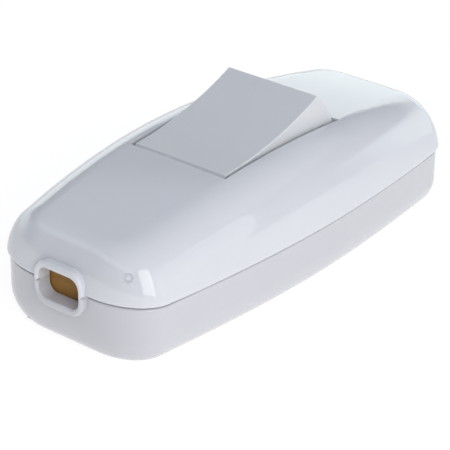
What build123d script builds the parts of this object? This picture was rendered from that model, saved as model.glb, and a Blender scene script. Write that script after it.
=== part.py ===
from build123d import *
import os
from math import asin, cos, degrees, pi, radians, sin, sqrt

# An in-line rocker switch for a flat two-core flex. A moulded housing in two halves, parted at mid
# height, carries a see-saw rocker on a steel pin. A sprung plunger in the rocker tips a contact
# lever on its knife edge. Millimetres, +Z up, X along the flex, origin under the middle of the base.

# Housing outline
BODY_LENGTH = 76.0
BODY_WIDTH = 34.2          # across the middle, at the parting line
END_WIDTH = 28.4           # where the sides would meet the ends
SIDE_POWER = 1.73          # how late the sides start to close in
TOP_MIDDLE = 20.8          # height of the crown at the middle
TOP_END = 16.5             # height of the crown carried on to the ends
PARTING_HEIGHT = 9.7
PARTING_GAP = 0.22         # shadow line between the halves
BASE_INSET = 0.5           # the base stands this much inside the cover
STRETCH = 1.55             # the round edges are this much shorter along X than along Y
RISE = 1.15                # and this much taller than they are wide
CORNER_RADIUS = 10.0       # in plan, across the width
CROWN_ROUND = 7.9          # cover's upper edge, across the width
CROWN_BOW = 358.0          # radius of the crown's slight curve across the width
FOOT_ROUND = 4.2           # base's lower edge, across the width
COVER_WALL = 1.6
BASE_WALL = 2.2
FLOOR = 2.0
LIP_ROUND = 0.6            # cover's lower edge
TRAY_EDGE = 0.25           # base's upper edge
CAVITY_ROUND = 1.0
TONGUE_RISE = 1.0          # the base's tongue stands this far into the cover
TONGUE_ROOT = 1.5
FIT = 0.1                  # gap between pieces that are dropped in
EASE = 0.15                # gap round a brass block or a cover post
LOOSE = 0.3                # gap beside the tongue

# Flex entries
MOUTH_WIDTH = 7.5
MOUTH_HEIGHT = 4.8
MOUTH_CORNER = 1.5
MOUTH_LIP = 0.25           # rounding of the rim, inside and out
COLLAR_WIDTH = 9.1
COLLAR_HEIGHT = 7.0
COLLAR_CORNER = 2.4
COLLAR_LIP = 0.42
COLLAR_REACH = 0.65
NOTCH = 0.4
GATE = (-36.0, -10.9, 14.4)  # mark left by the moulding gate, on one corner of the cover
GATE_RADIUS = 0.65
GATE_DEPTH = 0.14

# Rocker
PIVOT_HEIGHT = 14.7
ROCKER_TILT = 13.6         # either side of level
ROCKER_RADIUS = 13.8       # its end faces turn about the pin
ROCKER_SPREAD = 53.0       # degrees from upright to each top corner
ROCKER_WIDTH = 17.0
ROCKER_WALL = 1.3
SCOOP_DEPTH = 1.0
WINDOW_LENGTH = 26.9
WINDOW_WIDTH = 18.3
PIN_RADIUS = 1.0
RUNNING_GAP = 0.05
LUG_THICKNESS = 2.0
LUG_HALF = 2.4
LUG_DROP = 2.2
SKIRT = 1.1                # thickness of the walls that hang beside the rocker
HUB_RADIUS = 2.4
KEEL_DEPTH = 2.4
KEEL_HALF = 5.0
WEB = 1.2
SKIN = 0.5                 # stem and web stop this far under the rocker's surface

# Plunger and its spring, along the rocker's own upright
WELL_RADIUS = 2.0
WELL_ROOF = 1.7            # below the pin
STEM_FOOT = 5.6
STEM_WIDTH = 5.5
TIP_REACH = 8.2            # pin to the centre of the plunger's round tip
TIP_RADIUS = 1.0
PLUNGER_TOP = 2.6
PLUNGER_BORE = 1.35
SPRING_WIRE = 0.16
SPRING_RADIUS = 1.05
SPRING_TURNS = 6

# Contact lever
FULCRUM_HEIGHT = 4.6
CREST_RADIUS = 0.3         # the knife edge is rounded, and sits in a groove across the lever
GROOVE_RADIUS = 0.35
LEVER_TILT = 9.5
LEVER_REACH = 9.8
LEVER_WIDTH = 5.0
STRIP = 0.8                # thickness of every brass strip
BOWL_RADIUS = 3.35         # the plunger's tip rolls in this bowl
BOWL_BOTTOM = 0.85         # above the knife edge
LEVER_TOP = 1.55
CONTACT_OFFSET = 8.2
CONTACT_RADIUS = 1.4
RIVET_SHANK = 0.7
EAR_INNER = 2.8            # the lever sits between two ears
EAR_OUTER = 3.6
EAR_RISE = 1.8

# Terminals
BLOCK_LENGTH = 7.0
BLOCK_WIDTH = 6.0
BLOCK_TOP = 8.2
WIRE_RADIUS = 1.5
WIRE_HEIGHT = 4.9
BLOCK_X = 20.5
BLOCK_Y = 9.0
LINK_LENGTH = 14.0
LINK_Y = 10.5
LINK_SCREW_X = 4.0
LEG_INNER = 11.0           # strips leave the lever's line between these two
LEG_OUTER = 14.4
TAIL_WIDTH = 1.8
TAIL_HEIGHT = 3.75
LEG_EDGE = 1.4             # a leg starts this far past the strip's middle
RIB = 0.8                  # walls of the cells that hold the brass blocks
RIB_HEIGHT = 5.5

# Cord grips and cover fixings
GRIP_FRONT = 36.0          # outer face of the grip block
GRIP_DEPTH = 6.0
GRIP_WIDTH = 17.0
GRIP_BOTTOM = 7.25
GRIP_TOP = 12.6
GRIP_SCREW_Y = 5.7
SADDLE_TOP = 7.15
GRIP_POCKET = 36.15
SCREW_RADIUS = 1.4
HOLE_RADIUS = 1.5
HEAD_RADIUS = 2.4
HEAD_HEIGHT = 1.6
HEAD_SEAT = 2.6            # cover screws bear at this height in the base
COVER_SCREW_LENGTH = 9.4
CROSS_WIDTH = 0.55
CROSS_SPAN = 2.6
TERMINAL_HEAD_RADIUS = 2.0
SLOT_WIDTH = 0.6
SLOT_DEPTH = 0.8
FIXING_X = 21.0
FIXING_Y = 9.3
POST_RADIUS = 4.2
POST_TOP = 4.6             # the base's posts meet the cover's here
NUT_FLATS = 5.4
NUT_HEIGHT = 2.2


def half_width(x):
    """Half the housing's width at x: sides that bow outwards."""
    closing = abs(2 * x / BODY_LENGTH) ** SIDE_POWER
    return BODY_WIDTH / 2 - (BODY_WIDTH - END_WIDTH) / 2 * closing


def plan(inset):
    """The outline in plan, drawn STRETCH times too long so that its corners are true arcs."""
    reach = BODY_LENGTH / 2 - inset
    xs = [-reach, -reach / 2, 0, reach / 2, reach]
    near = Spline([(x * STRETCH, inset - half_width(x)) for x in xs])
    far = Spline([(x * STRETCH, half_width(x) - inset) for x in reversed(xs)])
    outline = make_face([near, Line(near @ 1, far @ 0), far, Line(far @ 1, near @ 0)])
    return fillet(outline.vertices(), CORNER_RADIUS - inset)


def to_size(shape):
    """Takes the stretched form back to its real length and height."""
    return scale(shape, by=(1 / STRETCH, 1, RISE))


def crown_form(inset):
    """The housing down to the ground: arched top, wide round along the sides, tighter at the ends."""
    end_x = BODY_LENGTH / 2 * STRETCH
    end_z = (TOP_END - inset) / RISE
    top_z = (TOP_MIDDLE - inset) / RISE
    arch = ThreePointArc((-end_x, end_z), (0, top_z), (end_x, end_z))
    foot = Polyline(arch @ 1, (end_x, -1), (-end_x, -1), arch @ 0)
    hub = Axis((0, 0, top_z - RISE * CROWN_BOW), (1, 0, 0))
    swing = degrees(BODY_WIDTH / CROWN_BOW)
    start = (Plane.XZ * make_face([arch, foot])).rotate(hub, -swing / 2)
    side = revolve(start, axis=hub, revolution_arc=swing)
    form = extrude(plan(inset), amount=TOP_MIDDLE) & side
    rim = form.faces().sort_by(Axis.Z)[-1].edges()
    return to_size(fillet(rim, CROWN_ROUND - inset))


def tray_form(inset, bottom, top, foot_round):
    """A straight-walled form with a rounded lower edge."""
    form = Pos(0, 0, bottom / RISE) * extrude(plan(inset), amount=(top - bottom) / RISE)
    rim = form.faces().sort_by(Axis.Z)[0].edges()
    return to_size(fillet(rim, foot_round))


def block(x, y, z):
    """A box given by its lowest and highest x, y and z."""
    middle = Pos((x[0] + x[1]) / 2, (y[0] + y[1]) / 2, (z[0] + z[1]) / 2)
    return middle * Box(x[1] - x[0], y[1] - y[0], z[1] - z[0])


def upright(x, y, radius, bottom, top):
    return Pos(x, y, (bottom + top) / 2) * Cylinder(radius, top - bottom)


def rod(radius, length):
    """A rod along Y, through the origin."""
    return Rot(90, 0, 0) * Cylinder(radius, length)


def slab(width, height, corner, start, end):
    """A round-cornered bar along X, centred on the parting line."""
    profile = Plane.YZ * RectangleRounded(width, height, corner)
    return Pos(start, 0, PARTING_HEIGHT) * extrude(profile, amount=end - start)


def both_ends(shape):
    return [shape, mirror(shape, Plane.YZ)]


def collar():
    """The raised rim round one flex entry, left whole."""
    mouth_face = BODY_LENGTH / 2 + COLLAR_REACH
    rim = slab(COLLAR_WIDTH, COLLAR_HEIGHT, COLLAR_CORNER, -mouth_face, -GRIP_POCKET)
    return fillet(rim.faces().sort_by(Axis.X)[0].edges(), COLLAR_LIP)


def mouth():
    """The flex's way through a collar, with small nicks where the halves meet."""
    face = BODY_LENGTH / 2 + COLLAR_REACH
    way = slab(MOUTH_WIDTH, MOUTH_HEIGHT, MOUTH_CORNER, -face - 1, -GRIP_FRONT)
    wide = MOUTH_WIDTH + 2 * MOUTH_LIP
    tall = MOUTH_HEIGHT + 2 * MOUTH_LIP
    lip = Plane.YZ * RectangleRounded(wide, tall, MOUTH_CORNER + MOUTH_LIP)
    way += Pos(-face, 0, PARTING_HEIGHT) * extrude(lip, amount=MOUTH_LIP, taper=45)
    nick = Rot(45, 0, 0) * Box(2 * COLLAR_REACH, NOTCH, NOTCH)
    for y in (MOUTH_WIDTH / 2, COLLAR_WIDTH / 2):
        for side in (-1, 1):
            way += Pos(-face, side * y, PARTING_HEIGHT) * nick
    return way


def fixings():
    return [(-FIXING_X, FIXING_Y), (FIXING_X, -FIXING_Y)]


def grip_screw_places():
    x = GRIP_FRONT - GRIP_DEPTH / 2
    return [(side * x, y) for side in (-1, 1) for y in (-GRIP_SCREW_Y, GRIP_SCREW_Y)]


def terminal_places():
    return [
        (-BLOCK_X, -BLOCK_Y),
        (BLOCK_X, BLOCK_Y),
        (-LINK_SCREW_X, LINK_Y),
        (LINK_SCREW_X, LINK_Y),
    ]


def above(height):
    return block((-50, 50), (-30, 30), (height, 40))


def base_shell():
    """Lower half: tray, tongue, saddles for the flex, posts for the fixings, cells for the brass."""
    top = PARTING_HEIGHT - PARTING_GAP
    shell = tray_form(BASE_INSET, -0.05, top, FOOT_ROUND) & above(0)
    shell = fillet(shell.faces().sort_by(Axis.Z)[-1].edges(), TRAY_EDGE)
    cavity_inset = BASE_INSET + BASE_WALL
    cavity = tray_form(cavity_inset, FLOOR, TOP_MIDDLE, CAVITY_ROUND)
    shell -= cavity
    crest = PARTING_HEIGHT + TONGUE_RISE
    tongue = tray_form(COVER_WALL + LOOSE, top - TONGUE_ROOT, crest, LOOSE) - cavity
    straight = 2 * (FIXING_X + POST_RADIUS + 2)
    shell += tongue & Pos(0, 0, top) * Box(straight, BODY_WIDTH, 6)
    saddle_inner = GRIP_FRONT - GRIP_DEPTH
    for end in both_ends(collar()):
        shell += end - above(PARTING_HEIGHT - 0.04)
    saddle = block((-GRIP_POCKET, -saddle_inner), (-GRIP_WIDTH / 2, GRIP_WIDTH / 2), (1, SADDLE_TOP))
    for piece in both_ends(saddle):
        shell += piece
    pocket_half = GRIP_WIDTH / 2 + 2 * FIT
    pocket = block((-GRIP_POCKET, 0), (-pocket_half, pocket_half), (SADDLE_TOP, 40))
    shell -= pocket & block((-50, -saddle_inner), (-30, 30), (0, 40))
    shell -= mirror(pocket, Plane.YZ) & block((saddle_inner, 50), (-30, 30), (0, 40))
    for x, y in fixings():
        shell += upright(x, y, POST_RADIUS, 1, POST_TOP)
    for cell in terminal_cells():
        shell += cell
    for y in (-1, 1):
        shell += block((8.2, 9.8), sorted((1.7 * y, 2.6 * y)), (1, 3.6))
    for x, y in fixings():
        shell -= upright(x, y, HOLE_RADIUS, -1, POST_TOP + 1)
        shell -= upright(x, y, POST_RADIUS + EASE, POST_TOP, TOP_MIDDLE)
        shell -= upright(x, y, HEAD_RADIUS + LOOSE + FIT, -1, HEAD_SEAT)
    for x, y in grip_screw_places():
        shell -= upright(x, y, HOLE_RADIUS, FLOOR, GRIP_TOP)
    for end in both_ends(mouth()):
        shell -= end
    return shell


def terminal_cells():
    """Thin ribs that hold the brass blocks in their places."""
    cells = []
    half_length = BLOCK_LENGTH / 2 + EASE
    half_breadth = BLOCK_WIDTH / 2 + EASE
    middle = RIB_HEIGHT - 2
    for x, y in ((-BLOCK_X, -BLOCK_Y), (BLOCK_X, BLOCK_Y)):
        for side in (-1, 1):
            wall = y + side * (half_breadth + RIB / 2)
            cells.append(Pos(x, wall, middle) * Box(2 * half_length, RIB, 4))
    for side in (-1, 1):
        end = side * (LINK_LENGTH / 2 + EASE + RIB / 2)
        for flank in (-1, 1):
            y = LINK_Y + flank * (half_breadth - 0.6)
            cells.append(Pos(end, y, middle) * Box(RIB, 1.2, 4))
    return cells


def window():
    """The rocker's opening, as a bar through the crown."""
    half_length = WINDOW_LENGTH / 2
    half_breadth = WINDOW_WIDTH / 2
    return block((-half_length, half_length), (-half_breadth, half_breadth), (PIVOT_HEIGHT, 40))


def cover_shell():
    """Upper half: crowned shell with the rocker's window, its pin lugs and two nut posts."""
    outside = crown_form(0) & above(PARTING_HEIGHT)
    outside = fillet(outside.faces().sort_by(Axis.Z)[0].edges(), LIP_ROUND)
    inside = crown_form(COVER_WALL)
    shell = outside - inside
    opening = window()
    shell -= opening
    fittings = []
    for side in (-1, 1):
        face = side * WINDOW_WIDTH / 2
        lug_y = sorted((face + side * FIT, face + side * (FIT + LUG_THICKNESS)))
        fittings.append(block((-LUG_HALF, LUG_HALF), lug_y, (PIVOT_HEIGHT - LUG_DROP, TOP_MIDDLE)))
        skirt_y = sorted((face, face + side * SKIRT))
        half_length = WINDOW_LENGTH / 2
        fittings.append(block((-half_length, half_length), skirt_y, (PIVOT_HEIGHT, TOP_MIDDLE)))
    for x, y in fixings():
        fittings.append(upright(x, y, POST_RADIUS, POST_TOP + FIT, TOP_MIDDLE))
    solid = crown_form(COVER_WALL / 2)
    for piece in fittings:
        shell += piece & solid
    for end in both_ends(collar()):
        shell += end & above(PARTING_HEIGHT)
    pocket_half = GRIP_WIDTH / 2 + 2 * FIT
    pocket = block((-GRIP_POCKET, -34), (-pocket_half, pocket_half), (0, GRIP_TOP + 2 * FIT))
    for piece in both_ends(pocket) + both_ends(mouth()):
        shell -= piece
    for x, y in fixings():
        shell -= upright(x, y, HOLE_RADIUS, 0, 13)
        shell -= Pos(x, y, POST_TOP) * extrude(nut_outline(FIT), amount=NUT_HEIGHT + 2 * FIT)
    shell -= Pos(0, 0, PIVOT_HEIGHT) * rod(PIN_RADIUS, WINDOW_WIDTH + 2 * LUG_THICKNESS - 0.6)
    return shell - gate_mark()


def gate_mark():
    """A shallow ring with a flush middle, square to the corner it sits on."""
    outward = Plane(origin=GATE, z_dir=(-0.5, -0.6, 0.62))
    ring = Circle(GATE_RADIUS) - Circle(GATE_RADIUS / 2)
    return extrude(outward * ring, amount=2, both=True) & (crown_form(0) - crown_form(GATE_DEPTH))


def nut_outline(gap):
    return RegularPolygon(NUT_FLATS / 2 + gap, 6, major_radius=False)


def rocker_profile(inset):
    """Side view about the pin, level: scooped top, ends turned about the pin, shallow keel."""
    radius = ROCKER_RADIUS - inset
    spread = radians(ROCKER_SPREAD)
    corner_x = ROCKER_RADIUS * sin(spread)
    corner_z = ROCKER_RADIUS * cos(spread)
    tip_x = corner_x - inset
    tip_z = sqrt(radius ** 2 - tip_x ** 2)
    scoop = ThreePointArc((-tip_x, tip_z), (0, corner_z - SCOOP_DEPTH - inset), (tip_x, tip_z))
    middle_angle = (asin(tip_x / radius) + pi / 2) / 2
    bulge = (radius * sin(middle_angle), radius * cos(middle_angle))
    end = ThreePointArc((tip_x, tip_z), bulge, (radius, 0))
    keel = -KEEL_DEPTH - 4 * inset
    foot = Polyline((radius, 0), (KEEL_HALF, keel), (-KEEL_HALF, keel), (-radius, 0))
    other_end = ThreePointArc((-radius, 0), (-bulge[0], bulge[1]), (-tip_x, tip_z))
    return make_face([scoop, end, foot, other_end])


def rocked(shape):
    """Takes a piece drawn level about the pin to its place at rest."""
    return Pos(0, 0, PIVOT_HEIGHT) * Rot(0, -ROCKER_TILT, 0) * shape


def rocker():
    half = ROCKER_WIDTH / 2
    shell = extrude(Plane.XZ * rocker_profile(0), amount=half, both=True)
    shell -= extrude(Plane.XZ * rocker_profile(ROCKER_WALL), amount=half - ROCKER_WALL, both=True)
    skin = extrude(Plane.XZ * rocker_profile(SKIN), amount=half, both=True)
    sides = (-STEM_WIDTH / 2, STEM_WIDTH / 2)
    stem = block(sides, sides, (-STEM_FOOT, 7))
    hub = rod(HUB_RADIUS, ROCKER_WIDTH)
    web = block((-WEB / 2, WEB / 2), (SKIN - half, half - SKIN), (0, 7)) & skin
    shell += (stem & (skin + block((-4, 4), (-4, 4), (-STEM_FOOT, 1)))) + hub + web
    shell -= rod(PIN_RADIUS + RUNNING_GAP, ROCKER_WIDTH + 2)
    shell -= upright(0, 0, WELL_RADIUS, -STEM_FOOT - 1, -WELL_ROOF)
    crisp = shell.faces().filter_by(Axis.Y).sort_by(Axis.Y)
    return rocked(fillet(crisp[0].outer_wire().edges() + crisp[-1].outer_wire().edges(), 0.15))


def pivot_pin():
    pin = rod(PIN_RADIUS, WINDOW_WIDTH + 2 * LUG_THICKNESS - 0.8)
    return Pos(0, 0, PIVOT_HEIGHT) * chamfer(pin.edges().filter_by(GeomType.CIRCLE), 0.2)


def plunger():
    """A hollow cup with a round nose, open upwards for its spring."""
    radius = WELL_RADIUS - RUNNING_GAP
    neck_top = -STEM_FOOT - 0.9
    body = upright(0, 0, radius, neck_top, -PLUNGER_TOP)
    nose = Pos(0, 0, neck_top - 0.6) * Cone(TIP_RADIUS, radius, 1.2)
    stalk = upright(0, 0, TIP_RADIUS, -TIP_REACH, neck_top - 1)
    tip = Pos(0, 0, -TIP_REACH) * Sphere(TIP_RADIUS)
    return rocked(body + nose + stalk + tip - upright(0, 0, PLUNGER_BORE, neck_top + 0.4, 0))


def plunger_spring():
    bottom = -STEM_FOOT - 0.5 + SPRING_WIRE + 0.02
    height = -WELL_ROOF - SPRING_WIRE - 0.02 - bottom
    coil = Helix(height / SPRING_TURNS, height, SPRING_RADIUS)
    section = Plane(coil @ 0, z_dir=coil % 0) * Circle(SPRING_WIRE)
    return rocked(Pos(0, 0, bottom) * sweep(section, path=coil))


def tipped(shape):
    """Takes a piece drawn level about the knife edge to its place at rest."""
    return Pos(0, 0, FULCRUM_HEIGHT) * Rot(0, LEVER_TILT, 0) * shape


def contact_lever():
    """A brass strip with a bowl pressed into its middle, over the knife edge."""
    centre = BOWL_BOTTOM + BOWL_RADIUS
    outer = BOWL_RADIUS + STRIP
    half = LEVER_WIDTH / 2
    arms = block((-LEVER_REACH, LEVER_REACH), (-half, half), (LEVER_TOP - STRIP, LEVER_TOP))
    bowl = Pos(0, 0, centre) * rod(outer, LEVER_WIDTH)
    bowl &= block((-4, 4), (-half, half), (-1, LEVER_TOP))
    lever = arms + bowl - Pos(0, 0, centre) * rod(BOWL_RADIUS, LEVER_WIDTH + 1)
    lever = fillet(lever.edges().filter_by(Axis.Z), 0.8) - rod(GROOVE_RADIUS, LEVER_WIDTH + 1)
    lever -= Pos(-CONTACT_OFFSET, 0, LEVER_TOP - STRIP / 2) * Cylinder(RIVET_SHANK, 2)
    return tipped(lever)


def rivet(height):
    """A contact rivet, domed face up, its shank below."""
    dome_radius = (CONTACT_RADIUS ** 2 + height ** 2) / (2 * height)
    dome = Pos(0, 0, height - dome_radius) * Sphere(dome_radius)
    return (dome & upright(0, 0, CONTACT_RADIUS, 0, 3)) + upright(0, 0, RIVET_SHANK, -STRIP, 0)


def lever_contact_tip():
    return tipped(Pos(-CONTACT_OFFSET, 0, LEVER_TOP - STRIP) * Rot(180, 0, 0) * rivet(0.6))


def fixed_contact_tip():
    place = Pos(-CONTACT_OFFSET, 0, FLOOR + STRIP)
    return place * rivet(0.5)


def strip_to_block(side):
    """Leg, riser and tail of a strip that runs to its block on one flank."""
    floor = (FLOOR, FLOOR + STRIP)
    tail_y = sorted((side * (BLOCK_Y - TAIL_WIDTH / 2), side * (BLOCK_Y + TAIL_WIDTH / 2)))
    leg_y = sorted((-side * LEG_EDGE, side * (BLOCK_Y + TAIL_WIDTH / 2)))
    leg = block((LEG_INNER, LEG_OUTER), leg_y, floor)
    riser = block((LEG_OUTER - STRIP, LEG_OUTER), tail_y, (FLOOR, TAIL_HEIGHT + STRIP))
    tail = block((LEG_OUTER - STRIP, BLOCK_X - 1), tail_y, (TAIL_HEIGHT, TAIL_HEIGHT + STRIP))
    return leg + riser + tail


def fulcrum_strip():
    """Brass strip with the lever's knife edge and side ears, leading to the load block."""
    floor = (FLOOR, FLOOR + STRIP)
    pad = block((-3, 3), (-EAR_OUTER, EAR_OUTER), floor)
    pad += block((0, LEG_OUTER), (-LEG_EDGE, LEG_EDGE), floor)
    flank = (CREST_RADIUS * cos(radians(20)), FULCRUM_HEIGHT + CREST_RADIUS * sin(radians(20)))
    edge = make_face(Polyline((-1.3, FLOOR), (-flank[0], flank[1]), flank, (1.3, FLOOR), close=True))
    edge = extrude(Plane.XZ * edge, amount=LEVER_WIDTH / 2 - 0.1, both=True)
    edge += Pos(0, 0, FULCRUM_HEIGHT) * rod(CREST_RADIUS, LEVER_WIDTH - 0.2)
    strip = pad + edge + strip_to_block(1)
    for side in (-1, 1):
        ear_y = sorted((side * EAR_INNER, side * EAR_OUTER))
        strip += block((-LEG_EDGE, LEG_EDGE), ear_y, (FLOOR, FULCRUM_HEIGHT + EAR_RISE))
    return strip


def fixed_contact_strip():
    """Brass strip under the fixed contact, leading to the line block."""
    floor = (FLOOR, FLOOR + STRIP)
    pad = block((-LEG_OUTER, -CONTACT_OFFSET + 2.2), (-1.9, 1.9), floor)
    strip = pad + mirror(strip_to_block(-1), Plane.YZ)
    return strip - Pos(-CONTACT_OFFSET, 0, FLOOR) * Cylinder(RIVET_SHANK, 4)


def terminal_block(length, screws):
    """A brass block with a wire way along X and screw holes from above."""
    body = Pos(0, 0, (FLOOR + BLOCK_TOP) / 2) * Box(length, BLOCK_WIDTH, BLOCK_TOP - FLOOR)
    body = chamfer(body.edges().filter_by(Axis.X).sort_by(Axis.Z)[-2:], 0.5)
    body -= Pos(0, 0, WIRE_HEIGHT) * Rot(0, 90, 0) * Cylinder(WIRE_RADIUS, length + 2)
    for x in screws:
        body -= upright(x, 0, HOLE_RADIUS, WIRE_HEIGHT, BLOCK_TOP + 1)
    return body


def slotted_screw(head_radius, length):
    """A cheese-head screw standing on the origin, thread downwards."""
    head = upright(0, 0, head_radius, 0, HEAD_HEIGHT)
    head = fillet(head.edges().sort_by(Axis.Z)[-1], 0.35)
    slot = Pos(0, 0, HEAD_HEIGHT) * Box(3 * head_radius, SLOT_WIDTH, 2 * SLOT_DEPTH)
    shank = upright(0, 0, SCREW_RADIUS, -length, 0)
    return head - slot + chamfer(shank.edges().sort_by(Axis.Z)[0], 0.3)


def cross_screw(length):
    """A pan-head screw standing on the origin, thread downwards, with a cross recess."""
    head = upright(0, 0, HEAD_RADIUS, 0, HEAD_HEIGHT)
    head = fillet(head.edges().sort_by(Axis.Z)[-1], 0.7)
    arm = Pos(0, 0, HEAD_HEIGHT) * Box(CROSS_SPAN, CROSS_WIDTH, 2.2)
    shank = upright(0, 0, SCREW_RADIUS, -length, 0)
    return head - arm - Rot(0, 0, 90) * arm + chamfer(shank.edges().sort_by(Axis.Z)[0], 0.3)


def cord_grip():
    """Fibre block that bears on the flex just inside an entry; front grip."""
    back = GRIP_DEPTH - GRIP_FRONT
    grip = block((-GRIP_FRONT, back), (-GRIP_WIDTH / 2, GRIP_WIDTH / 2), (GRIP_BOTTOM, GRIP_TOP))
    grip = fillet(grip.edges().filter_by(Axis.Z), 0.6)
    grip = chamfer(grip.faces().sort_by(Axis.Z)[-1].edges(), 0.3)
    for x, y in grip_screw_places()[:2]:
        grip -= upright(x, y, HOLE_RADIUS, 0, 20)
        grip -= upright(x, y, HEAD_RADIUS + 2 * FIT, GRIP_TOP - HEAD_HEIGHT, 20)
    return grip


def cord_grip_screws():
    screw = cross_screw(GRIP_TOP - HEAD_HEIGHT - FLOOR - 0.6)
    return [Pos(x, y, GRIP_TOP - HEAD_HEIGHT) * screw for x, y in grip_screw_places()]


def terminal_screws():
    screw = slotted_screw(TERMINAL_HEAD_RADIUS, BLOCK_TOP - WIRE_HEIGHT - 0.6)
    return [Pos(x, y, BLOCK_TOP) * screw for x, y in terminal_places()]


def cover_screws():
    screw = Rot(180, 0, 0) * cross_screw(COVER_SCREW_LENGTH)
    return [Pos(x, y, HEAD_SEAT) * screw for x, y in fixings()]


def cover_nuts():
    outline = nut_outline(0) - Circle(HOLE_RADIUS)
    nut = extrude(outline, amount=NUT_HEIGHT)
    return [Pos(x, y, POST_TOP + FIT) * nut for x, y in fixings()]


def write(name, shape):
    """One STEP per sub-part; a list of like pieces becomes a group of solids."""
    if isinstance(shape, list):
        shape = Compound([solid for piece in shape for solid in piece.solids()])
    elif len(shape.solids()) == 1:
        shape = shape.solids()[0]
    export_step(shape, f"parts/{name}.step")


os.makedirs("parts", exist_ok=True)
front_grip = cord_grip()
write("base_shell", base_shell())
write("cover_shell", cover_shell())
write("rocker", rocker())
write("pivot_pin", pivot_pin())
write("plunger", plunger())
write("plunger_spring", plunger_spring())
write("contact_lever", contact_lever())
write("lever_contact_tip", lever_contact_tip())
write("fixed_contact_tip", fixed_contact_tip())
write("fulcrum_strip", fulcrum_strip())
write("fixed_contact_strip", fixed_contact_strip())
write("line_terminal_block", Pos(-BLOCK_X, -BLOCK_Y) * terminal_block(BLOCK_LENGTH, [0]))
write("load_terminal_block", Pos(BLOCK_X, BLOCK_Y) * terminal_block(BLOCK_LENGTH, [0]))
write("neutral_link_block", Pos(0, LINK_Y) * terminal_block(LINK_LENGTH, [-LINK_SCREW_X, LINK_SCREW_X]))
write("terminal_screws", terminal_screws())
write("front_cord_grip", front_grip)
write("rear_cord_grip", mirror(front_grip, Plane.YZ))
write("cord_grip_screws", cord_grip_screws())
write("cover_screws", cover_screws())
write("cover_nuts", cover_nuts())
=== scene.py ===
from math import cos, pi, radians, sin

import bpy
from mathutils import Matrix, Vector


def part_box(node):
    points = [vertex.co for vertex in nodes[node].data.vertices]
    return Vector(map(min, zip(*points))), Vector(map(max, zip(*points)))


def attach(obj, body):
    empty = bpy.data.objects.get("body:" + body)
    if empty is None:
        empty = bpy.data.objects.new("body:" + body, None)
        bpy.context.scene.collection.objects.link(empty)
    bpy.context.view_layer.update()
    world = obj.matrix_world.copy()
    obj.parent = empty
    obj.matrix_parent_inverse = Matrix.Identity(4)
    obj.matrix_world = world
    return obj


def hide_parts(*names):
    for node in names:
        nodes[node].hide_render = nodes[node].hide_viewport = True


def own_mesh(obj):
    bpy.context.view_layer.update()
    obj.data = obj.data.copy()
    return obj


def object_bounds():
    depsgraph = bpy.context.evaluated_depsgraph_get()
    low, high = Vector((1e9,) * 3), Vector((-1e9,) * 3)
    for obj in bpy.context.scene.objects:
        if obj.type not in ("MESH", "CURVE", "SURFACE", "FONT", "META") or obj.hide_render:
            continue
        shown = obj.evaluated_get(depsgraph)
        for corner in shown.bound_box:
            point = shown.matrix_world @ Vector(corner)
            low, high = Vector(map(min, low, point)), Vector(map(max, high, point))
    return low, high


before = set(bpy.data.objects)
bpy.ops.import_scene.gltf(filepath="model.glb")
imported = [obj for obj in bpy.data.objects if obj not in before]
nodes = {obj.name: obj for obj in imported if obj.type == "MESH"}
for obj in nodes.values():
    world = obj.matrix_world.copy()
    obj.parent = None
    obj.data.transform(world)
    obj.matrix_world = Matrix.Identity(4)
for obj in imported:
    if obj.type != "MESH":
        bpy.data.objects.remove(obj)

# An in-line rocker switch for a lamp flex, in the order it is put together: base, brass, cord
# grips, cover, rocker with its sprung plunger, then the fixings. Lengths are in metres.

cad_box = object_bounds()


# ---- Base -----------------------------------------------------------------------------------
# The lower half of the housing: a greyish white polypropylene, moulded with a slight gloss. It
# stands on its flat underside.

class Field:
    """A number or colour that varies over a surface: a shader socket used in plain sums."""

    def __init__(self, tree, socket=None):
        self.tree = tree
        self.socket = socket

    def node(self, kind, settings=(), out=0, **values):
        """Adds one node: its settings first, then the values or links of its sockets."""
        made = self.tree.nodes.new(kind)
        for name, value in dict(settings).items():
            setattr(made, name, value)
        for name, value in values.items():
            self.feed(made, name, value)
        return Field(self.tree, made.outputs[out])

    def feed(self, made, name, value):
        """Sets or links a socket, named in words or by its number after an underscore."""
        key = int(name[1:]) if name[0] == "_" else name.replace("_", " ")
        if isinstance(value, Field):
            self.tree.links.new(value.socket, made.inputs[key])
        else:
            made.inputs[key].default_value = value

    def math(self, operation, *values):
        places = {f"_{number}": value for number, value in enumerate(values)}
        return self.node("ShaderNodeMath", {"operation": operation}, **places)

    def __add__(self, other):
        return self.math("ADD", self, other)

    def __sub__(self, other):
        return self.math("SUBTRACT", self, other)

    def __mul__(self, other):
        return self.math("MULTIPLY", self, other)

    __radd__ = __add__
    __rmul__ = __mul__

    def clipped(self, low, high):
        """0 below low, 1 above high, a smooth step between them."""
        step = {"interpolation_type": "SMOOTHSTEP"}
        return self.node("ShaderNodeMapRange", step, Value=self, From_Min=low, From_Max=high)

    def between(self, first, second):
        """Blends two colours by this field."""
        ends = {"_6": (*first, 1), "_7": (*second, 1)}
        return self.node("ShaderNodeMix", {"data_type": "RGBA"}, out=2, _0=self, **ends)

    def noise(self, scale, detail=2.0, roughness=0.5):
        values = {"Vector": self, "Scale": scale, "Detail": detail, "Roughness": roughness}
        return self.node("ShaderNodeTexNoise", **values)


def start_finish(name):
    """An empty material with its surface shader and the piece's own coordinates."""
    material = bpy.data.materials.new(name)
    material.use_nodes = True
    tree = material.node_tree
    place = Field(tree).node("ShaderNodeTexCoord", out="Object")
    return material, tree.nodes["Principled BSDF"], place


def dress(piece, material):
    """Gives every face of a piece one material."""
    piece.data.materials.clear()
    piece.data.materials.append(material)


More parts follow.
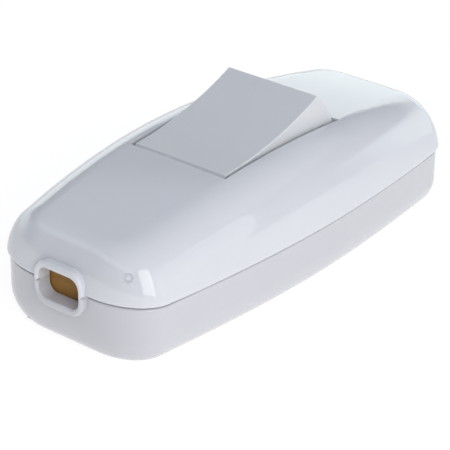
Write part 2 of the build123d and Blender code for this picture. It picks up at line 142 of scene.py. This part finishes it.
def moulded(name, colour, shade, gloss, peel, glow=0.0):
    """Moulded plastic: drifting tone, slow waves in the surface, hairline rubs and fine dust."""
    material, surface, place = start_finish(name)
    drift = place.noise(34.0, 3.0)
    lengthwise = {"Rotation": (0.3, 0.2, 0.9), "Scale": (1.0, 14.0, 6.0)}
    streaks = place.node("ShaderNodeMapping", Vector=place, **lengthwise)
    rubbed = streaks.noise(260.0, 5.0, 0.65).clipped(0.63, 0.74) * drift.clipped(0.45, 0.65)
    dust = place.noise(2600.0, 1.0).clipped(0.74, 0.8)
    tone = (drift.clipped(0.3, 0.7) + dust * 0.6).between(colour, shade)
    place.feed(surface, "Base_Color", tone)
    place.feed(surface, "Roughness", drift * 0.04 + rubbed * 0.1 + dust * 0.2 + (gloss - 0.02))
    waves = place.noise(95.0, 1.0) + place.noise(420.0, 2.0) * 0.12 - rubbed * 0.004
    bumps = place.node("ShaderNodeBump", Strength=1.0, Distance=peel, Height=waves)
    place.feed(surface, "Normal", bumps)
    surface.inputs["IOR"].default_value = 1.5
    surface.inputs["Subsurface Weight"].default_value = glow
    surface.inputs["Subsurface Radius"].default_value = (1.0, 0.95, 0.9)
    surface.inputs["Subsurface Scale"].default_value = 0.0007
    return material


base_white = moulded("base_white", (0.55, 0.552, 0.59), (0.535, 0.538, 0.575), 0.13, 0.00006, 0.3)
dress(nodes["base_shell"], base_white)


# ---- Brass strips and contact lever ---------------------------------------------------------
# Stamped and folded from half-hard brass strip and dropped into the base. The lever tips on the
# crest of the strip below it, with the plunger's nose in the bowl pressed into its middle.

def metal(name, colour, shade, gloss, grain=700.0):
    """Bare metal with drawn or tumbled tone and small scuffs."""
    material, surface, place = start_finish(name)
    tarnish = place.noise(grain, 4.0, 0.6)
    scuffs = place.noise(grain * 4)
    bumps = place.node("ShaderNodeBump", Strength=0.6, Distance=0.0000025, Height=scuffs)
    place.feed(surface, "Base_Color", tarnish.clipped(0.35, 0.7).between(colour, shade))
    place.feed(surface, "Roughness", tarnish * 0.2 + (gloss - 0.1))
    place.feed(surface, "Normal", bumps)
    surface.inputs["Metallic"].default_value = 1.0
    return material


stamped_brass = metal("stamped_brass", (0.80, 0.56, 0.25), (0.72, 0.48, 0.2), 0.3)
for part in ("fulcrum_strip", "fixed_contact_strip", "contact_lever"):
    dress(nodes[part], stamped_brass)


# ---- Contact rivets -------------------------------------------------------------------------
# Solid silver rivets, one through the lever and one through the fixed strip, smoother than the
# brass around them.

rivet_silver = metal("rivet_silver", (0.86, 0.85, 0.82), (0.74, 0.72, 0.68), 0.22)
for part in ("lever_contact_tip", "fixed_contact_tip"):
    dress(nodes[part], rivet_silver)


# ---- Terminal blocks ------------------------------------------------------------------------
# Drawn brass bar, cut off, drilled along for the wire and from above for the screw, with a finer
# grain than the strip. Ribs in the base hold each block.

drawn_brass = metal("drawn_brass", (0.78, 0.57, 0.27), (0.71, 0.5, 0.22), 0.26, 1200.0)
for part in ("line_terminal_block", "load_terminal_block", "neutral_link_block"):
    dress(nodes[part], drawn_brass)


# ---- Terminal screws ------------------------------------------------------------------------
# Slotted screws of plated steel that clamp the wires in the blocks.

zinc_plate = metal("zinc_plate", (0.74, 0.75, 0.77), (0.62, 0.63, 0.66), 0.25)
dress(nodes["terminal_screws"], zinc_plate)


# ---- Cord grips -----------------------------------------------------------------------------
# Blocks of brown vulcanised fibre, sawn and drilled, each screwed down on the flex just inside
# an entry: a dull pressed sheet with faint flecks.

def pressed_fibre(colour, shade):
    """Brown sheet, pressed in layers: darker flecks, faint plies, a dull surface."""
    material, surface, place = start_finish("pressed_fibre")
    flecks = place.noise(900.0, 4.0, 0.7)
    plies = place.node("ShaderNodeMapping", Vector=place, Scale=(1.0, 1.0, 5.0)).noise(300.0, 3.0)
    tone = (flecks * 0.5 + plies * 0.5).clipped(0.35, 0.65)
    bumps = place.node("ShaderNodeBump", Strength=1.0, Distance=0.00003, Height=flecks)
    place.feed(surface, "Base_Color", tone.between(colour, shade))
    place.feed(surface, "Roughness", flecks * 0.12 + 0.5)
    place.feed(surface, "Normal", bumps)
    return material


sheet_fibre = pressed_fibre((0.265, 0.124, 0.017), (0.32, 0.158, 0.027))
for part in ("front_cord_grip", "rear_cord_grip"):
    dress(nodes[part], sheet_fibre)


# ---- Cord grip screws -----------------------------------------------------------------------
# Four cross-head machine screws that draw the grips down on the flex, plated like the others.

dress(nodes["cord_grip_screws"], zinc_plate)


# ---- Cover ----------------------------------------------------------------------------------
# The crowned upper half, moulded in a lighter white than the base and glossier; a gate mark is
# left on one corner. Its lip hides the tongue of the base.

cover_white = moulded("cover_white", (0.64, 0.65, 0.69), (0.62, 0.63, 0.675), 0.05, 0.00003, 0.3)
dress(nodes["cover_shell"], cover_white)


# ---- Rocker ---------------------------------------------------------------------------------
# A hollow see-saw with a scooped top, of the same plastic as the cover but from a tool with a
# drier surface. It turns on a pin.

rocker_paint = (0.63, 0.64, 0.67)
rocker_shade = (0.615, 0.625, 0.655)
rocker_white = moulded("rocker_white", rocker_paint, rocker_shade, 0.3, 0.00002, 0.25)
dress(nodes["rocker"], rocker_white)


# ---- Pivot pin ------------------------------------------------------------------------------
# Drawn steel, cut off with broken ends and pressed into the cover's lugs.

drawn_steel = metal("drawn_steel", (0.60, 0.60, 0.61), (0.48, 0.48, 0.49), 0.28)
dress(nodes["pivot_pin"], drawn_steel)


# ---- Plunger --------------------------------------------------------------------------------
# A round-nosed cup of natural nylon that slides in the rocker's stem.

nylon = (0.62, 0.59, 0.52)
nylon_shade = (0.58, 0.55, 0.48)
natural_nylon = moulded("natural_nylon", nylon, nylon_shade, 0.4, 0.00002, 0.3)
dress(nodes["plunger"], natural_nylon)


# ---- Spring ---------------------------------------------------------------------------------
# Steel wire wound into a small open coil. It stands in the plunger's cup, below the roof of the
# rocker's well. The real spring gets shorter as the plunger is driven in; this coil keeps one
# length.

WIRE = 0.00032
COIL_ACROSS = 0.0021
TURNS = 6
rocker_lean = Vector((-0.235142, 0, 0.971961))
foot_box, head_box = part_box("plunger_spring")
coil_middle = (foot_box + head_box) / 2
coil_length = (head_box.z - foot_box.z) / rocker_lean.z - 2 * WIRE
bpy.ops.object.select_all(action="DESELECT")
bpy.ops.mesh.primitive_circle_add(
    vertices=12, radius=WIRE / 2, rotation=(radians(90), 0, 0), location=(COIL_ACROSS / 2, 0, 0)
)
coil = bpy.context.object
coil.name = "wound_spring"
bpy.ops.object.transform_apply(location=True, rotation=True, scale=True)
winding = coil.modifiers.new("winding", "SCREW")
winding.axis = "Z"
winding.angle = 2 * pi
winding.screw_offset = coil_length / TURNS
winding.iterations = TURNS
winding.steps = 32
winding.render_steps = 32
bpy.ops.object.modifier_apply(modifier=winding.name)
lean = rocker_lean.to_track_quat("Z", "Y").to_matrix().to_4x4()
coil.matrix_world = Matrix.Translation(coil_middle - rocker_lean * coil_length / 2) @ lean
bpy.ops.object.transform_apply(location=True, rotation=True, scale=True)
bpy.ops.object.shade_smooth()
dress(coil, drawn_steel)
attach(coil, "rocker")
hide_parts("plunger_spring")
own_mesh(coil)


# ---- Cover screws ---------------------------------------------------------------------------
# Two plated cross-head screws that come up through the base and hold the halves together.

dress(nodes["cover_screws"], zinc_plate)


# ---- Cover nuts -----------------------------------------------------------------------------
# Hexagonal nuts cut from brass bar, dropped into the cover's posts.

dress(nodes["cover_nuts"], stamped_brass)


# ---- Floor, light and camera ----------------------------------------------------------------
# A white lit floor. A small soft box stands by the near corner and a wide one to the right; a
# bright low backdrop, a strip beyond the near end and a dim ceiling make the reflections.

bpy.ops.object.select_all(action="DESELECT")
bpy.ops.mesh.primitive_plane_add(size=6.0, location=(0, 0, cad_box[0].z))
floor = bpy.context.object
floor.name = "floor"
paper, paper_surface, _ = start_finish("white_paper")
paper_surface.inputs["Base Color"].default_value = (0.3, 0.3, 0.3, 1)
paper_surface.inputs["Roughness"].default_value = 0.9
paper_surface.inputs["Specular IOR Level"].default_value = 0.0
paper_surface.inputs["Emission Color"].default_value = (1, 0.995, 0.995, 1)
paper_surface.inputs["Emission Strength"].default_value = 0.8
dress(floor, paper)

world = bpy.data.worlds.new("studio")
bpy.context.scene.world = world
world.use_nodes = True
air = world.node_tree.nodes["Background"]
sky = Field(world.node_tree).node("ShaderNodeTexCoord", out="Generated")
height = sky.node("ShaderNodeSeparateXYZ", out="Z", Vector=sky)


def towards(way):
    """1 in a level direction, falling to -1 opposite."""
    dot = {"operation": "DOT_PRODUCT"}
    return sky.node("ShaderNodeVectorMath", dot, out="Value", _0=sky, _1=way)


def band(low, high, soft):
    """A soft-edged belt of sky between two heights."""
    return height.clipped(low - soft, low + soft) - height.clipped(high - soft, high + soft)


behind = towards((0.78, 0.62, 0)).clipped(0.15, 0.6)
past_end = towards((-0.9, 0.43, 0)).clipped(0.45, 0.6)
ceiling = height.clipped(0.54, 0.62)
glow = band(-1, 0.32, 0.04) * behind * 1.9 + band(0.32, 0.58, 0.04) * behind * 0.15
air_strength = glow + ceiling * 0.63 + band(0.5, 0.66, 0.02) * past_end * 0.9
sky.feed(air, "Strength", air_strength)
sky.feed(air, "Color", ceiling.between((0.95, 1.03, 1.02), (0.95, 0.99, 1.08)))


def softbox(name, place, aim, size, power):
    """A rectangular studio light at a place, turned to face a point."""
    lamp = bpy.data.lights.new(name, "AREA")
    lamp.shape = "RECTANGLE"
    lamp.size, lamp.size_y = size
    lamp.energy = power
    stand = bpy.data.objects.new(name, lamp)
    stand.location = place
    stand.rotation_euler = (Vector(aim) - Vector(place)).to_track_quat("-Z", "Y").to_euler()
    bpy.context.scene.collection.objects.link(stand)


softbox("corner_box", (-0.33, -0.48, 0.25), (0, 0, 0.01), (0.3, 0.46), 1.75)
softbox("right_box", (0.1, -1.15, 0.4), (0, 0, 0.01), (1.3, 0.8), 4.6)

FOCAL_LENGTH = 163.0       # in millimetres, like the sensor's width
SENSOR_WIDTH = 36.0
DISTANCE = 0.3073
azimuth = radians(-51.0)
elevation = radians(27.24)
roll = radians(0.74)
back = Vector((sin(azimuth) * cos(elevation), -cos(azimuth) * cos(elevation), sin(elevation)))
right = Vector((cos(azimuth), sin(azimuth), 0))
up = back.cross(right)
camera_data = bpy.data.cameras.new("camera")
camera_data.lens = FOCAL_LENGTH
camera_data.sensor_width = SENSOR_WIDTH
camera_data.clip_start = 0.01
camera = bpy.data.objects.new("camera", camera_data)
look_at = Vector((-0.00211, 0, 0.00537))
turned_right = right * cos(roll) + up * sin(roll)
turned_up = up * cos(roll) - right * sin(roll)
turn = Matrix((turned_right, turned_up, back)).transposed()
camera.matrix_world = Matrix.Translation(look_at + back * DISTANCE) @ turn.to_4x4()
bpy.context.scene.collection.objects.link(camera)
bpy.context.scene.camera = camera
bpy.context.scene.view_settings.view_transform = "Standard"
